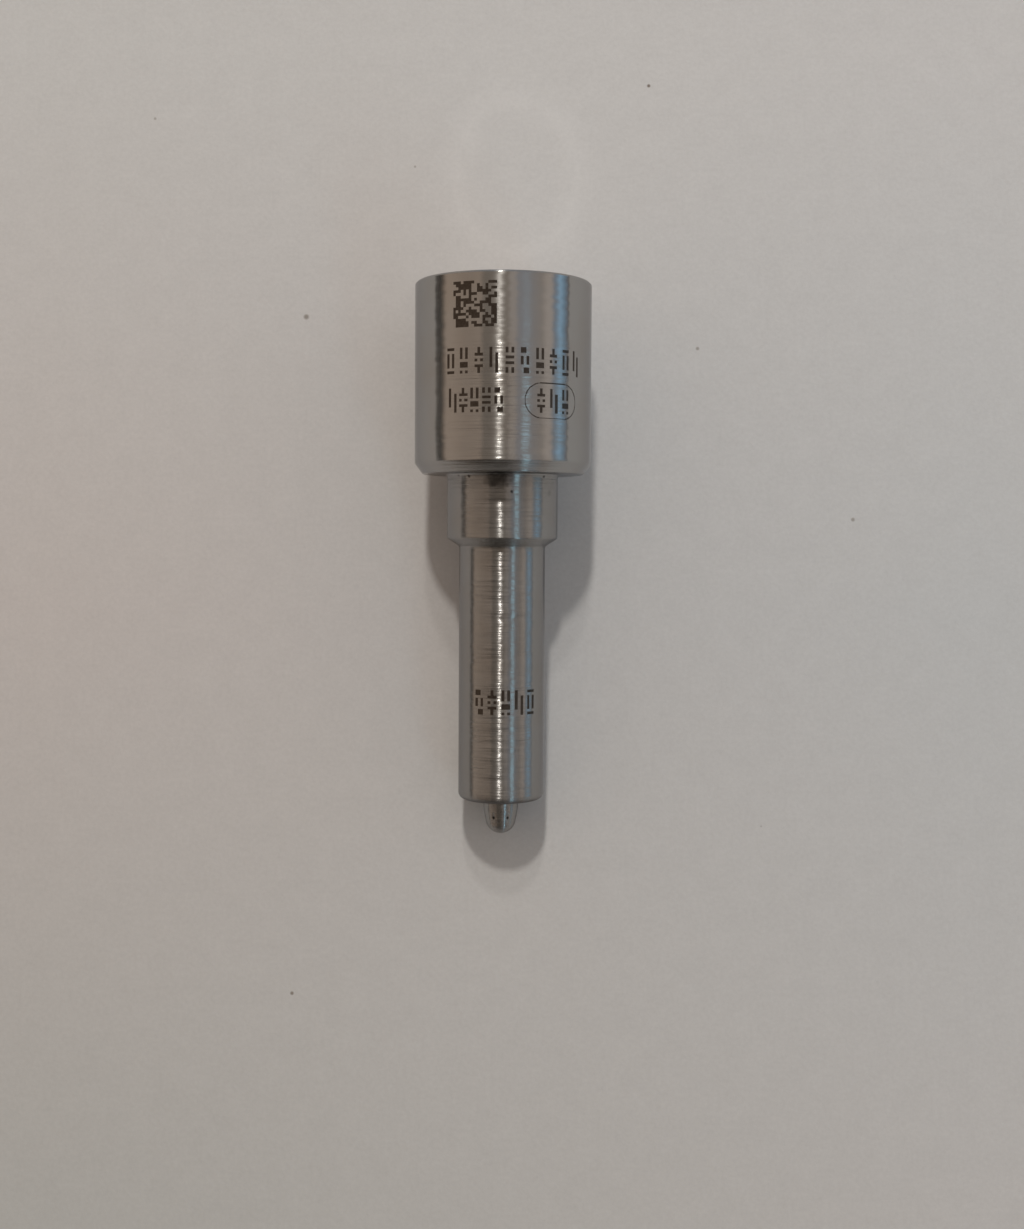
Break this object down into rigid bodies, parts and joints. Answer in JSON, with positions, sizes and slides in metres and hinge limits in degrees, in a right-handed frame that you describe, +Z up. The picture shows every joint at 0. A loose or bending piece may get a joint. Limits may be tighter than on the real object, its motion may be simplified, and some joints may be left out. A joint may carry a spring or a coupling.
{
  "type": "diesel injector nozzle",
  "caption": "Slender ground steel fuel injector nozzle with a wide collar, a stepped shank, a domed tip with fine spray holes and a spring-closed needle inside.",
  "frame": {"origin": "centre of the lapped sealing face at the collar's open end", "axes": "Y is the nozzle axis and +Y points out of the sealing face, so the tip is at -Y; +Z is up and the marked side of the collar faces it; X completes the right-handed frame"},
  "size_m": [0.0142, 0.0448, 0.0142],
  "materials": {
    "ground_steel": "ground round the axis, satin",
    "needle_steel": "fine ground, bright",
    "sleeve_steel": "fine ground",
    "spring_steel": "drawn wire, oiled",
    "ring_steel": "ground flat"
  },
  "bodies": {
    "housing": {"nozzle_body": "ground_steel"},
    "sleeve": {"control_sleeve": "sleeve_steel", "closing_spring": "spring_steel"},
    "spring_seat": {"spring_seat_ring": "ring_steel", "adjusting_shim": "ring_steel"},
    "needle": {"nozzle_needle": "needle_steel"}
  },
  "joints": [
    {"name": "needle_set_out", "type": "slide", "parent": "housing", "child": "sleeve", "axis": [0, 1, 0], "range_m": [0, 0.046]},
    {"name": "needle_lift", "type": "slide", "parent": "sleeve", "child": "spring_seat", "axis": [0, 1, 0], "range_m": [0, 0.00025], "stiffness_N_per_m": 30000, "springref_m": -0.0011, "deforming": ["closing_spring"]},
    {"name": "needle_turn", "type": "hinge", "parent": "spring_seat", "child": "needle", "pos_m": [0, -0.0134, 0], "axis": [0, 1, 0], "continuous": true}
  ]
}
